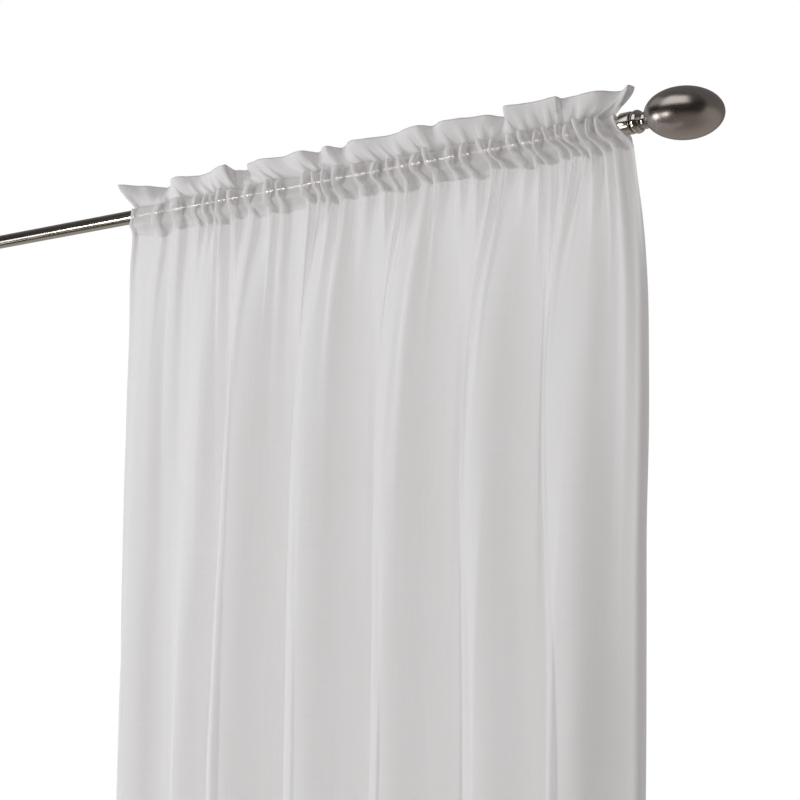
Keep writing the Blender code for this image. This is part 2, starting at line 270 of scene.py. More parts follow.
def pocket(angles, side, stand_off):
    """Pocket layer on the -Y side (side -1) or the +Y side (side 1): distance from the rod's axis is
    the ring's reach plus the gathers' stand-off, and within SEWN_SPAN degrees of a sewn line the
    ring's depth eases over to the stitches' wave. Near each sewn line the rows ride up and down."""
    turn = np.radians(angles)[:, None]
    degrees = angles[:, None]
    reach = glide(degrees, rings[0], rings[1] * MM)
    from_foot = 180 - degrees
    swell = smooth((degrees - SWELL_FROM) / SWELL_TOP) * smooth(from_foot / SWELL_FOOT)
    reach = reach + stand_off * swell * (1 + BULGE * bulge * np.cos(turn))
    x = spread(np.broadcast_to(rod_x, reach.shape),
               glide(degrees, rings[0], rings[2] * MM), glide(degrees, rings[0], rings[3] * MM))
    curl = wander(share * 11, 2.0) * CURL * np.sin(turn) ** 2 + lean * LEAN * np.cos(turn)
    sewn_y = ripple * (STITCH_WAVE + (SEAM_WAVE - STITCH_WAVE) * degrees / 180)
    sewn = 1 - smooth(degrees / SEWN_SPAN) * smooth(from_foot / SEWN_SPAN)
    sewn_x, sewn_y = apart(x, sewn_y, side * LAYER_GAP / 2)
    round_x, round_y = x + curl, side * reach * np.sin(turn)
    rise = stitch_rise * smooth(1 - degrees / RIDE_TOP) + seam_rise * smooth(1 - from_foot / RIDE_FOOT)
    return (round_x + (sewn_x - round_x) * sewn, round_y + (sewn_y - round_y) * sewn,
            reach * np.cos(turn) + rise)


FRONT_ANGLES = 180 - 180 * np.linspace(0, 1, 28)[1:-1]
BACK_ANGLES = 180 * np.linspace(0, 1, 20)[1:]
pocket_front = pocket(FRONT_ANGLES, -1, lift)
pocket_back = pocket(BACK_ANGLES, 1, (LIFT_MAX - lift) * BEHIND)
print("pocket rows", len(FRONT_ANGLES), "in front and", len(BACK_ANGLES), "behind")

# %% [markdown]
# ## The header
# Above the upper seam the doubled cloth is free. Its stitched foot keeps the gathers' tight ripple,
# but at its folded top edge it opens into lobes that swing to and fro. So each height of the header
# is a mix of two plans, the ripple and the lobes, and at the two ends it leans outwards where nothing
# holds the corner. The side hem at the right end is stiffer than the cloth and stands a little taller.
#
# A lobe may swing back over its neighbour, so its turns don't always come in the order of their
# places. To read such a row by place, each turn that goes back is listed a little to the right of the
# farthest one so far.

# %% Header
CORNER_SPAN = 60.0 * MM
CORNER_LEAN = (-10.0 * MM, 18.0 * MM)
LOBE_ROUND = 0.25
LOBE_CRISP = 0.55
OVERLAP = 3.0 * MM
UPRIGHT = 1.5
RIPPLE_FADE = 2.2
CLOSED_UP, CLOSES_LATE = 0.8, 6
EDGE_WAVE = 0.8 * MM
STIFF_HEM, STIFF_SPAN = 3.5 * MM, 24 * MM


class Lobe(NamedTuple):
    """A turn of the header's free top edge, in mm."""
    x: float
    y: float


LOBES = (
    Lobe(-340, -18), Lobe(-315, 2), Lobe(-302, 25), Lobe(-257, -8), Lobe(-231, 7),
    Lobe(-170, -16), Lobe(-180, 11), Lobe(-170, 19), Lobe(-146, -3), Lobe(-120, -9),
    Lobe(-98, -3), Lobe(-62, -12), Lobe(-54, 8), Lobe(-28, -9), Lobe(-20, 8),
    Lobe(13, -12), Lobe(54, -1), Lobe(103, -17), Lobe(114, -4), Lobe(136, -15),
    Lobe(182, -4), Lobe(197, 12), Lobe(219, -21), Lobe(250, -15), Lobe(280, -18),
    Lobe(278, -7), Lobe(322, -12), Lobe(341, 5), Lobe(356, -4), Lobe(351, 26),
)
lobes = np.array(LOBES).T * MM
number = np.arange(len(LOBES))
farthest = np.maximum.accumulate(lobes[0])
since = number - np.maximum.accumulate(np.where(lobes[0] >= farthest, number, 0))
lobe_at = farthest + since * OVERLAP


def header(free, side):
    """Header layer: depth goes from the stitches' ripple at free = 0 to the lobes at free = 1, with
    the ripple fading as a power of what is left. The way over to a lobe eases as one less a power of
    what is left, so a lobe stands upright near its edge, and height grows evenly. A thread's place
    on the top edge is half way between the one straight above its foot and the one at its share of
    the edge. The two layers close up towards the fold at the top."""
    free = free[:, None]
    foot_x = spread(rod_x, RINGS[0].left * MM, RINGS[0].right * MM)
    near_left = smooth(1 - (foot_x - foot_x[0]) / CORNER_SPAN)
    near_right = smooth(1 - (foot_x[-1] - foot_x) / CORNER_SPAN)
    above = foot_x + CORNER_LEAN[0] * near_left + CORNER_LEAN[1] * near_right
    _, _, even, _ = swing(*lobes, LOBE_ROUND, share, LOBE_CRISP)
    halfway = (np.interp(above, lobe_at, number) + even) / 2
    top_x, top_y = between(halfway, *lobes, LOBE_ROUND, LOBE_CRISP)
    upright = 1 - (1 - free) ** UPRIGHT
    x = foot_x + (top_x - foot_x) * upright
    y = STITCH_WAVE * ripple * (1 - free) ** RIPPLE_FADE + top_y * (upright + smooth(free)) / 2
    x, y = apart(x, y, side * LAYER_GAP / 2 * (1 - CLOSED_UP * free ** CLOSES_LATE))
    height = HEADER_TOP - STITCH_Z + wander(share * 7, 5.0) * EDGE_WAVE
    height = height + STIFF_HEM * smooth(1 - FLAT_WIDTH * (1 - share) / STIFF_SPAN)
    return x, y, STITCH_Z + height * free + stitch_rise * (1 - free)


HEADER_ROWS = np.linspace(0, 1, 14)
header_front = header(HEADER_ROWS, -1)
header_back = header(HEADER_ROWS[::-1][1:], 1)
print("header", round((HEADER_TOP - STITCH_Z) / MM, 1), "mm above its seam")

# %% [markdown]
# ## The hanging folds
# Below the pocket the ripples die away and main folds take over. Two plans describe those folds, one
# at the shoulder of the cloth and one lower down where they hang straight. Both are read at the same
# shares of the cloth's width, so a thread that starts on a ridge of the rod runs down the right fold.
# What is left of each gather is added on top and fades by its own distance: just below the seam the
# whole ripple, and after a few centimetres only the few ridges that run on. Two slow uneven waves
# keep the flanks from being perfectly smooth.

# %% Folds
DROP = 2134 * MM
HEM = 76 * MM
HEM_END_Z = HEADER_TOP - DROP
SHOULDER_Z = -0.20
LOW_Z = -0.65
HEM_FLARE = (1.03, 1.30)
FOLD_ROUND = 0.5
FOLD_CRISP = 0.45
LOOSE_WAVE = 7.0 * MM
LOOSENS_OVER = 30 * MM
TIGHT = 45.0 * MM
RIDGE = 1.3
FADE_POWER = 1.5
SHORT_WAVE, LONG_WAVE = 0.9 * MM, 1.6 * MM
WAVES_GROW_OVER = 150 * MM
SEAM_FADE = 60 * MM


class Fold(NamedTuple):
    """A turn of the hanging cloth in mm, at its shoulder and from 0.65 m below the rod."""
    shoulder_x: float
    shoulder_y: float
    low_x: float
    low_y: float


class Level(NamedTuple):
    """A height of the hanging cloth in mm, how far the gathers have become folds there, and where
    the cloth's two side edges are."""
    z: float
    folded: float
    left: float
    right: float


FOLDS = (
    Fold(-337, 4, -336, 6), Fold(-308, -12, -310, -16), Fold(-256, 9, -262, 15),
    Fold(-210, -11, -228, -15), Fold(-187, 14, -202, 23), Fold(-149, -24, -156, -32),
    Fold(-100, 24, -103, 33), Fold(-49, -24, -43, -33), Fold(9, 24, 14, 33),
    Fold(68, -24, 73, -33), Fold(124, 24, 129, 33), Fold(182, -25, 192, -34),
    Fold(231, 24, 244, 33), Fold(267, -23, 282, -32), Fold(358, 8, 346, 16),
    Fold(362, 20, 351, 30),
)
LEVELS = (
    Level(-2098, 1.0, -346, 360), Level(-1500, 1.0, -341, 357), Level(-1000, 1.0, -338, 353),
    Level(-650, 1.0, -336, 351), Level(-400, 1.0, -337, 357), Level(-240, 0.90, -337, 364),
    Level(-150, 0.66, -336, 366), Level(-90, 0.34, -335, 365), Level(-50, 0.10, -335, 362),
    Level(-25, 0.0, -335, 359),
)
folds = np.array(FOLDS).T * MM
levels = np.array(LEVELS).T
shoulder_x, shoulder_y, _, shoulder_length = swing(folds[0], folds[1], FOLD_ROUND, share, FOLD_CRISP)
low_x, low_y, _, low_length = swing(folds[2], folds[3], FOLD_ROUND, share, FOLD_CRISP)


def panel(z):
    """Hanging cloth at the heights z: a mix of the rod's plan and the folds' plan, plus what is left
    of the gathers, which fade as exp(-(depth below the seam / fall) to the power 1.5). The ripple's
    hollows fade over the depth TIGHT, and the threads even out across faster than a ridge sinks."""
    z = z[:, None]
    down = smooth((SHOULDER_Z - z) / (SHOULDER_Z - LOW_Z))
    loose = smooth((LOW_Z - z) / (LOW_Z - HEM_END_Z))
    fold_x = (shoulder_x + (low_x - shoulder_x) * down) * (1 + (HEM_FLARE[0] - 1) * loose)
    fold_y = (shoulder_y + (low_y - shoulder_y) * down) * (1 + (HEM_FLARE[1] - 1) * loose)
    folded = glide(z, levels[0] * MM, levels[1])
    depth = SEAM_Z - z
    fading = np.exp(-(depth / fall) ** FADE_POWER)
    tight = np.exp(-(depth / TIGHT) ** FADE_POWER)
    x = even_x + (rod_x - even_x) * fading ** 2
    x = x + (fold_x - x) * folded
    wave = SEAM_WAVE + (LOOSE_WAVE - SEAM_WAVE) * smooth(depth / LOOSENS_OVER)
    ridge = ripple * tight - RIDGE * lift / LIFT_MAX * (1 - tight)
    y = fold_y * folded + ridge * wave * fading
    waves = (wander(share * 6 + z * 0.4, 1.3) * SHORT_WAVE
             + wander(share * 3 - z * 1.1, 4.0) * LONG_WAVE)
    y = y + waves * smooth(depth / WAVES_GROW_OVER)
    x = spread(x, glide(z, levels[0] * MM, levels[2] * MM), glide(z, levels[0] * MM, levels[3] * MM))
    return x, y, z + seam_rise * np.exp(-depth / SEAM_FADE)


PANEL_ROWS, CROWDING = 98, 1.7
HEM_ROWS = 5
PANEL_Z = SEAM_Z + (HEM_END_Z - SEAM_Z) * np.linspace(1, 0, PANEL_ROWS) ** CROWDING
hanging = panel(PANEL_Z)
hem_x, hem_y, hem_z = panel(np.linspace(HEM_END_Z + HEM, HEM_END_Z, HEM_ROWS)[:-1])
hem_back = (*apart(hem_x, hem_y, LAYER_GAP), hem_z)
print("folds use", round(shoulder_length, 3), "m of cloth at the shoulder and", round(low_length, 3),
      "m below")

# %% [markdown]
# ## One sheet
# All the rows join into a single grid, in the order in which the cloth runs: the turned-up hem behind,
# up the front, round the rod, over the header's top, and down behind the rod to the lower seam. One
# grid means one piece of cloth without a join. Its UV map is the cloth laid flat, in metres, so that
# threads and hems can be drawn on it at their true size.

# %% Sheet
def grid_piece(name, x, y, z, flat=None, closed=False):
    """Mesh from a grid of points: four neighbours make a face, and a closed grid also joins its last
    column to its first. `flat` holds a UV place for each point."""
    rows, columns = z.shape
    points = np.stack((x, y, z), axis=-1).reshape(-1, 3)
    corner = np.arange(rows * columns).reshape(rows, columns)
    if closed:
        corner = np.hstack((corner, corner[:, :1]))
    faces = np.stack((corner[:-1, :-1], corner[:-1, 1:], corner[1:, 1:], corner[1:, :-1]), axis=-1)
    mesh = bpy.data.meshes.new(name)
    mesh.from_pydata(points.tolist(), [], faces.reshape(-1, 4).tolist())
    if flat is not None:
        layer = mesh.uv_layers.new(name="flat")
        at = np.empty(len(mesh.loops), dtype=np.int64)
        mesh.loops.foreach_get("vertex_index", at)
        layer.data.foreach_set("uv", flat.reshape(-1, 2)[at].ravel())
    mesh.shade_smooth()
    piece = bpy.data.objects.new(name, mesh)
    bpy.context.scene.collection.objects.link(piece)
    return piece


PARTS = (hem_back, hanging, pocket_front, header_front, header_back, pocket_back)
sheet_x, sheet_y, sheet_z = (np.concatenate([part[i] for part in PARTS]) for i in range(3))

POCKET_FLAT = 40 * MM
HEADER_FLAT = HEADER_TOP - STITCH_Z
PANEL_FLAT = SEAM_Z - HEM_END_Z
FLAT_LENGTH = HEM + PANEL_FLAT + 2 * (POCKET_FLAT + HEADER_FLAT)
run_hem = HEM * np.linspace(0, 1, HEM_ROWS)[:-1]
run_panel = HEM + PANEL_Z - HEM_END_Z
run_front = HEM + PANEL_FLAT + POCKET_FLAT * (1 - FRONT_ANGLES / 180)
run_header = HEM + PANEL_FLAT + POCKET_FLAT + HEADER_FLAT * HEADER_ROWS
run_down = run_header[-1] + HEADER_FLAT * (1 - HEADER_ROWS[::-1][1:])
run_back = run_down[-1] + POCKET_FLAT * BACK_ANGLES / 180
run = np.concatenate((run_hem, run_panel, run_front, run_header, run_down, run_back))
flat_place = np.stack(np.broadcast_arrays(share * FLAT_WIDTH, run[:, None]), axis=-1)

curtain = grid_piece("voile_panel", sheet_x, sheet_y, sheet_z, flat_place)
print("sheet", sheet_x.shape, "points,", 2 * len(curtain.data.polygons), "triangles, cut from",
      FLAT_WIDTH, "by", round(FLAT_LENGTH, 3), "m")

# %% [markdown]
# ## Rod and finial
# A rod, a cap and a collar are all turned shapes: a profile of radius against place along the rod,
# carried round the rod's axis. The oval knob is turned too, but its cross section is an ellipse, so
# its width and height get a factor each. More points than on the CAD solids keep the reflections
# clean, because a mirror finish shows every facet. Neighbouring pieces leave 0.3 mm between them, as
# on the CAD model.

# %% Turned pieces
ROD_R = 8.0 * MM
ROD_LEFT, ROD_RIGHT = -660.0 * MM, 355.0 * MM
AROUND = 96
FIT = 0.3 * MM


def corner(along, radius, size, start, end, count=7):
    """Round corner of a profile: a circle of the given size about (along, radius), from one angle to
    the other in degrees, where 0 points outwards and 90 to the right."""
    a = np.radians(np.linspace(start, end, count))
    return np.column_stack((along + size * np.sin(a), radius + size * np.cos(a)))


def turned_piece(name, profile, wide=1.0, high=1.0):
    """Profile carried round the X axis: y is its radius times -sin a times the width's factor, and z
    its radius times cos a times the height's factor. Points on the axis are merged into a pole."""
    along, radius = np.asarray(profile).T
    a = np.linspace(0, 2 * np.pi, AROUND, endpoint=False)
    wide, high = (np.broadcast_to(factor, along.shape)[:, None] for factor in (wide, high))
    x = np.broadcast_to(along[:, None], (len(along), AROUND))
    y = -radius[:, None] * np.sin(a) * wide
    z = radius[:, None] * np.cos(a) * high
    piece = grid_piece(name, x, y, z, closed=True)
    bm = bmesh.new()
    bm.from_mesh(piece.data)
    bmesh.ops.remove_doubles(bm, verts=bm.verts, dist=1e-7)
    bmesh.ops.recalc_face_normals(bm, faces=bm.faces)
    bm.to_mesh(piece.data)
    bm.free()
    piece.data.shade_smooth()
    return piece


print("turned pieces have", AROUND, "points round the rod")

# %% [markdown]
# The rod is a tube with a 1 mm wall. Cut tube ends are deburred, which leaves a narrow bevel that
# catches the light. The plain cap at the left end has a plug that reaches 14 mm into the tube.

# %% Rod and cap
WALL_THICK = 1.0 * MM
BEVEL = 0.3 * MM
ROD_STEPS = 60
CAP_LENGTH, CAP_ROUND, CAP_R = 4.0 * MM, 1.0 * MM, 9.2 * MM
PLUG_LENGTH = 14 * MM

inner = ROD_R - WALL_THICK
rod_places = np.linspace(ROD_LEFT + BEVEL, ROD_RIGHT - BEVEL, ROD_STEPS)
rod = turned_piece("rod", np.concatenate((
    [(ROD_LEFT, inner), (ROD_LEFT, ROD_R - BEVEL)],
    np.column_stack((rod_places, np.full(ROD_STEPS, ROD_R))),
    [(ROD_RIGHT, ROD_R - BEVEL), (ROD_RIGHT, inner), (ROD_LEFT, inner)],
)))

cap_right = ROD_LEFT - FIT
cap_left = cap_right - CAP_LENGTH
plug_right, plug_r = ROD_LEFT + PLUG_LENGTH, inner - FIT
cap = turned_piece("rod_cap", np.concatenate((
    [(cap_left, 0.0)],
    corner(cap_left + CAP_ROUND, CAP_R - CAP_ROUND, CAP_ROUND, -90, 0),
    corner(cap_right - CAP_ROUND, CAP_R - CAP_ROUND, CAP_ROUND, 0, 90),
    [(cap_right, plug_r), (plug_right, plug_r), (plug_right, 0.0)],
)))
print("rod", round(ROD_RIGHT - ROD_LEFT, 3), "m long,", ROD_R * 2, "m thick")

# %% [markdown]
# The finial slips over the rod's end. Next to the cloth is a plain collar, then a bead with fine turned
# rings on its far side, then a short neck. The rings are cut into the bead's profile as small steps,
# since a groove that catches the light has to be real. The knob is hollowed only where the spigot
# goes in, so its profile starts at the bore and then follows half an ellipse.

# %% Finial
SOCKET_LEFT, SOCKET_RIGHT = 346.0 * MM, 358.6 * MM
SOCKET_R, SOCKET_ROUND, SOCKET_LIP = 11.2 * MM, 1.2 * MM, 0.4 * MM
SOCKET_DEPTH = 9.6 * MM
BEAD_LENGTH, BEAD_HALF, BEAD_MIDDLE_R = 10.0 * MM, 5.0 * MM, 6.7 * MM
NECK_LENGTH, NECK_ROUND, NECK_MIDDLE_R = 8.0 * MM, 4.0 * MM, 4.6 * MM
SPIGOT_R, SPIGOT_LENGTH = 5.0 * MM, 9.0 * MM
RING_ANGLES = (60, 66, 67, 73, 74, 80, 81, 90)
RING_SIZES = (5.0, 5.0, 4.6, 4.8, 4.4, 4.6, 4.2, 4.2)
KNOB_X = 416.3 * MM
KNOB_HALF = np.array((39.6, 37.1, 24.9)) * MM
KNOB_STEPS = 90

socket = turned_piece("finial_collar", np.concatenate((
    [(SOCKET_LEFT + SOCKET_DEPTH, 0.0), (SOCKET_LEFT + SOCKET_DEPTH, ROD_R + FIT),
     (SOCKET_LEFT + SOCKET_LIP, ROD_R + FIT)],
    corner(SOCKET_LEFT + SOCKET_ROUND, SOCKET_R - SOCKET_ROUND, SOCKET_ROUND, -90, 0),
    corner(SOCKET_RIGHT - SOCKET_ROUND, SOCKET_R - SOCKET_ROUND, SOCKET_ROUND, 0, 90),
    [(SOCKET_RIGHT, 0.0)],
)))

bead_left = SOCKET_RIGHT + FIT
bead_middle = bead_left + BEAD_HALF
neck_right = bead_left + BEAD_LENGTH + NECK_LENGTH
spigot_right = KNOB_X - KNOB_HALF[0] + SPIGOT_LENGTH
rings_cut = np.concatenate([
    corner(bead_middle, BEAD_MIDDLE_R, size * MM, angle, angle, 1)
    for angle, size in zip(RING_ANGLES, RING_SIZES)
])
neck = turned_piece("finial_bead", np.concatenate((
    [(bead_left, 0.0)], corner(bead_middle, BEAD_MIDDLE_R, BEAD_HALF, -90, 60, 22), rings_cut,
    corner(neck_right - NECK_ROUND, NECK_MIDDLE_R, NECK_ROUND, -60, 80, 16),
    [(neck_right, SPIGOT_R), (spigot_right, SPIGOT_R), (spigot_right, 0.0)],
)))

bore = SPIGOT_R + FIT
rim = math.asin(bore / KNOB_HALF[2])
sweep = np.linspace(rim, math.pi, KNOB_STEPS)
floor_of_bore, mouth_of_bore = spigot_right + FIT, KNOB_X - KNOB_HALF[0] * math.cos(rim)
knob_along = np.concatenate(((floor_of_bore, floor_of_bore, mouth_of_bore),
                             KNOB_X - KNOB_HALF[0] * np.cos(sweep)))
knob_radius = np.concatenate(((0.0, bore, bore), np.sin(sweep)))
knob_wide = np.concatenate(((1, 1, 1), np.full(KNOB_STEPS, KNOB_HALF[1])))
knob_high = np.concatenate(((1, 1, 1), np.full(KNOB_STEPS, KNOB_HALF[2])))
knob = turned_piece("finial_oval", np.column_stack((knob_along, knob_radius)), knob_wide, knob_high)
print("finial from", SOCKET_LEFT, "to", round(KNOB_X + KNOB_HALF[0], 4))

# %% [markdown]
# ## Shader arithmetic
# A shader is a web of nodes, and long formulas in it are hard to read. A small class wraps one socket
# and lets plain Python expressions add the Math nodes. Every other node comes from one method.

# %% Wires
class Wire:
    """A socket of a shader's node tree. Sums and products of wires and numbers add Math nodes."""

    def __init__(self, tree, socket=None):
        self.tree = tree
        self.socket = socket

    def node(self, kind, settings=None, output=0, **inputs):
        """Add a node: first its settings, then the values or wires of its sockets, whose names are
        written with _ for a space. Returns the wire of one output."""
        made = self.tree.nodes.new("ShaderNode" + kind)
        for name, value in (settings or {}).items():
            if name == "stops":
                ends = made.color_ramp.elements
                ends[0].color, ends[1].color = (*value[0][1], 1.0), (*value[-1][1], 1.0)
                for place, colour in value[1:-1]:
                    ends.new(place).color = (*colour, 1.0)
            else:
                setattr(made, name, value)
        for name, value in inputs.items():
            name = name.replace("_", " ")
            socket = made.inputs[int(name[1:]) if name[0] == "n" and name[1:].isdigit() else name]
            if isinstance(value, Wire):
                self.tree.links.new(value.socket, socket)
            else:
                socket.default_value = value
        return Wire(self.tree, made.outputs[output]) if made.outputs else None

    def math(self, operation, a, b=0.0):
        """A Math node for the named sum of two wires or numbers."""
        return self.node("Math", {"operation": operation}, n0=a, n1=b)

    def __add__(self, other):
        return self.math("ADD", self, other)

    def __radd__(self, other):
        return self.math("ADD", other, self)

    def __sub__(self, other):
        return self.math("SUBTRACT", self, other)

    def __rsub__(self, other):
        return self.math("SUBTRACT", other, self)

    def __mul__(self, other):
        return self.math("MULTIPLY", self, other)

    def __rmul__(self, other):
        return self.math("MULTIPLY", other, self)

    def __truediv__(self, other):
        return self.math("DIVIDE", self, other)

    def __rtruediv__(self, other):
        return self.math("DIVIDE", other, self)

    def __pow__(self, other):
        return self.math("POWER", self, other)

    def __rpow__(self, other):
        return self.math("POWER", other, self)

    def least(self, other):
        return self.math("MINIMUM", self, other)

    def most(self, other):
        return self.math("MAXIMUM", self, other)

    def size(self):
        return self.math("ABSOLUTE", self)

    def below(self, edge, soft):
        """1 where the value is well below the edge and 0 above it, eased over the width `soft`."""
        return self.node("MapRange", {"interpolation_type": 'SMOOTHSTEP'}, Value=self,
                         From_Min=edge - soft / 2, From_Max=edge + soft / 2, To_Min=1.0, To_Max=0.0)


def new_material(name):
    """An empty material and the wire that adds nodes to it."""
    made = bpy.data.materials.new(name)
    made.use_nodes = True
    made.node_tree.nodes.clear()
    return made, Wire(made.node_tree)


print("a Wire knows", [name for name in vars(Wire) if not name.startswith("__init")])

# %% [markdown]
# ## Voile
# Voile is a plain weave of very fine twisted yarn with open space between the threads. From a metre
# away the threads can't be told apart: what is seen is how much they cover. So the cover is the main
# value here, and it drives a mix of a see-through shader and a cloth shader, half of which lets light
# through from behind. The yarn is uneven, so the cover varies in long thin streaks along the two
# thread directions. Seen at a slant the threads close up, as a louvre does: with cover c and view
# angle a, the gap that is left is (1 - c) to the power 1 / cos(a). Side hems are two layers thick, and
# along the right edge the cloth looks denser still, as if it were turned back a little on itself.
# Where the pocket is pulled round the rod the weave opens a little.

# %% Voile finish
SIDE_HEM = 12 * MM
TURNED_IN = 8 * MM
TURNED_BACK = 80 * MM
TURNED_BACK_LAYER, HEM_LAYER, TURNED_IN_LAYER = 0.45, 0.9, 0.7
COVER = 0.76
COVER_LEAST, COVER_MOST = 0.3, 0.97
POCKET_OPEN = 0.04
WARP_UNEVEN, WEFT_UNEVEN, CLOUD_UNEVEN = 0.05, 0.03, 0.03
THREAD = 0.35 * MM
THREAD_SOFT = 0.3 * MM
STITCH_LENGTH = 2.8 * MM
STITCH_SHARE = 0.7
STITCH_COVER = 0.8
SLANT_LIMIT = 0.25
THROUGH = 0.37

voile, wire = new_material("white_voile")
uv = wire.node("UVMap", {"uv_map": "flat"})
across = wire.node("SeparateXYZ", Vector=uv)
along = wire.node("SeparateXYZ", output=1, Vector=uv)


def streaks(along_scale, across_scale, detail=3.0):
    """Noise on the flat cloth, drawn out along one thread direction."""
    place = wire.node("Mapping", Vector=uv, Scale=(across_scale, along_scale, 1.0))
    return wire.node("TexNoise", {"noise_dimensions": '2D'}, Vector=place, Scale=1.0, Detail=detail,
                     Roughness=0.6)


def stitches(place, way):
    """Row of sewing stitches where `place` is 0: a line twice as wide as the thread, in dashes along
    `way` that fill STITCH_SHARE of each stitch."""
    dash = wire.math("FRACT", way / STITCH_LENGTH).below(STITCH_SHARE, 0.2)
    return place.size().below(THREAD, THREAD_SOFT) * dash


warp = streaks(2.5, 420.0)
weft = streaks(380.0, 3.0)
cloud = streaks(9.0, 14.0, 2.0)
edge = across.least(FLAT_WIDTH - across)
seam_at = HEM + PANEL_FLAT
stitch_at = seam_at + POCKET_FLAT
sewn = (stitches(along - seam_at, across)
        .most(stitches(along - stitch_at, across))
        .most(stitches(along - 2 * HEM, across))
        .most(stitches(edge - SIDE_HEM, along)))
turned_back = (FLAT_WIDTH - across).below(TURNED_BACK, TURNED_BACK)
turned_in = (FLAT_LENGTH - along).below(TURNED_IN, 1.0 * MM)
layers = (1 + TURNED_BACK_LAYER * turned_back + HEM_LAYER * edge.below(SIDE_HEM, 1.0 * MM)
          + TURNED_IN_LAYER * turned_in)
round_rod = (along - (seam_at + stitch_at) / 2).size().below(POCKET_FLAT / 2, 6 * MM)
cover = (COVER - POCKET_OPEN * round_rod + (warp - 0.5) * WARP_UNEVEN + (weft - 0.5) * WEFT_UNEVEN
         + (cloud - 0.5) * CLOUD_UNEVEN)
gap = (1 - cover.least(COVER_MOST).most(COVER_LEAST)) ** layers * (1 - STITCH_COVER * sewn)
facing = 1 - wire.node("LayerWeight", output=1, Blend=0.5)
cover_seen = 1 - gap ** (1 / facing.most(SLANT_LIMIT))

tint = wire.node("Mix", {"data_type": 'RGBA'}, output=2, n0=cloud, n6=(0.950, 0.940, 0.945, 1),
                 n7=(0.950, 0.938, 0.930, 1))
weave_height = warp * 0.5 + weft * 0.5 + sewn
bump = wire.node("Bump", Strength=0.12, Distance=0.2 * MM, Height=weave_height)
cloth = wire.node("BsdfPrincipled", Base_Color=tint, Roughness=0.9, Specular_IOR_Level=0.15,
                  Sheen_Weight=0.1, Sheen_Roughness=0.5, Normal=bump)
through = wire.node("BsdfTranslucent", Color=(0.950, 0.937, 0.940, 1), Normal=bump)
body = wire.node("MixShader", n0=THROUGH, n1=cloth, n2=through)
clear = wire.node("BsdfTransparent")
wire.node("OutputMaterial", Surface=wire.node("MixShader", n0=cover_seen, n1=clear, n2=body))
curtain.data.materials.append(voile)
print("voile covers", COVER, "of the view, face on")

# %% [markdown]
# ## Nickel
# The rod, its cap, the collar and the bead are bright nickel plate, and the knob is satin: the same
# metal, a little darker, with a fine brushed grain that widens its reflections. On both, roughness
# varies a little with handling and polishing marks, because a perfectly even mirror looks drawn.

# %% Nickel finishes
def nickel(name, colour, roughness, uneven, grain, bump_depth):
    """Plated metal: roughness is its mean plus noise. The grain is noise with a scale for X, Y and Z:
    small along X draws it out along the rod, and large along X makes rings round the axis."""
    made, tree = new_material(name)
    at = tree.node("TexCoord", output=3)
    squeezed = tree.node("Mapping", Vector=at, Scale=grain)
    fine = tree.node("TexNoise", Vector=squeezed, Scale=1.0, Detail=4.0)
    blots = tree.node("TexNoise", Vector=at, Scale=60.0, Detail=3.0)
    rough = roughness + (fine - 0.5) * uneven + (blots - 0.5) * uneven
    relief = tree.node("Bump", Strength=1.0, Distance=bump_depth, Height=fine)
    metal = tree.node("BsdfPrincipled", Base_Color=(*colour, 1.0), Metallic=1.0, Roughness=rough,
                      Normal=relief)
    tree.node("OutputMaterial", Surface=metal)
    return made


polished = nickel("polished_nickel", (0.61, 0.58, 0.54), 0.13, 0.05, (40.0, 500.0, 500.0), 0.004 * MM)
satin = nickel("satin_nickel", (0.46, 0.42, 0.40), 0.28, 0.08, (1800.0, 60.0, 60.0), 0.01 * MM)
for piece in (rod, cap, socket, neck):
    piece.data.materials.append(polished)
knob.data.materials.append(satin)
print("metals", polished.name, satin.name)

# %% [markdown]
# ## The room that is mirrored
# Metal shows mostly what is round it, and a bare studio gives it only grey. So the world shows
# reflections a room of their own: dark in front with a lighter ground, a paler wall behind, a soft
# window high in front and two low patches of light on the left. The camera itself sees plain white
# behind the object, and the cloth gets an even glow that is a little stronger from the left.

# %% World
class Box(NamedTuple):
    """A soft-edged patch of light in the room: its middle and half size in degrees round the upright
    and in heights from -1 straight down to 1 straight up."""
    around: float
    height: float
    half_around: float
    half_height: float
    strength: float


BOXES = (
    Box(-93.0, 0.53, 38.0, 0.33, 1.15), Box(-161.0, -0.41, 10.0, 0.12, 4.2),
    Box(-130.0, -0.57, 10.0, 0.10, 3.6),
)
BOX_EDGE = 0.4
LIT = (1.0, 0.985, 0.955, 1.0)
AMBIENT = 0.395
FROM_LEFT = 0.55
WARM = (1.0, 0.98, 0.955)
COOL = (0.94, 0.955, 1.0)
ROOM_EDGE = -0.05
ROOM = (
    (0.0, (0.27, 0.24, 0.21)), (0.12, (0.13, 0.115, 0.10)), (0.20, (0.042, 0.034, 0.03)),
    (0.40, (0.045, 0.037, 0.032)), (0.60, (0.022, 0.021, 0.020)), (1.0, (0.10, 0.10, 0.10)),
)
WALL = (
    (0.0, (0.22, 0.20, 0.18)), (0.15, (0.40, 0.37, 0.33)), (0.35, (0.40, 0.38, 0.34)),
    (0.5, (0.22, 0.20, 0.19)), (0.65, (0.19, 0.175, 0.175)), (1.0, (0.16, 0.155, 0.155)),
)

world = bpy.data.worlds.new("studio")
world.use_nodes = True
world.node_tree.nodes.clear()
bpy.context.scene.world = world
sky = Wire(world.node_tree)
direction = sky.node("TexCoord", output=0)
way_x, way_y, height = (sky.node("SeparateXYZ", output=n, Vector=direction) for n in range(3))
around = sky.math("ARCTAN2", way_y, way_x)


